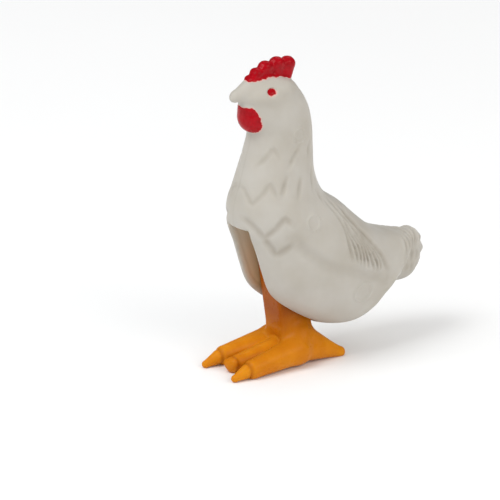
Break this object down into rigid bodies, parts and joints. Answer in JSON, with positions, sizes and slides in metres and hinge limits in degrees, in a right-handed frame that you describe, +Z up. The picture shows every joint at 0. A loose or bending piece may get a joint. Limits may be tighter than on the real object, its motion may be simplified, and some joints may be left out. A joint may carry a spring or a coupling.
{
  "type": "posable toy hen",
  "caption": "Small moulded-plastic toy hen: a hollow white body of two half shells that tips forward to peck on a one-piece orange legs-and-feet moulding.",
  "frame": {"origin": "middle of the object's box, on the surface that it stands on", "axes": "+Z up; the hen faces -Y; its left side is +X"},
  "size_m": [0.0146, 0.0346, 0.0462],
  "materials": {
    "white_plastic": "satin moulded white plastic with red painted comb, wattle and eyes",
    "orange_plastic": "satin moulded burnt-orange plastic"
  },
  "bodies": {
    "stand": {"legs": "orange_plastic"},
    "body": {"left_body_shell": "white_plastic", "right_body_shell": "white_plastic"}
  },
  "joints": [
    {"name": "hip_tilt", "type": "hinge", "parent": "stand", "child": "body", "pos_m": [0, -0.005, 0.0155], "axis": [1, 0, 0], "range_deg": [0, 100]}
  ]
}
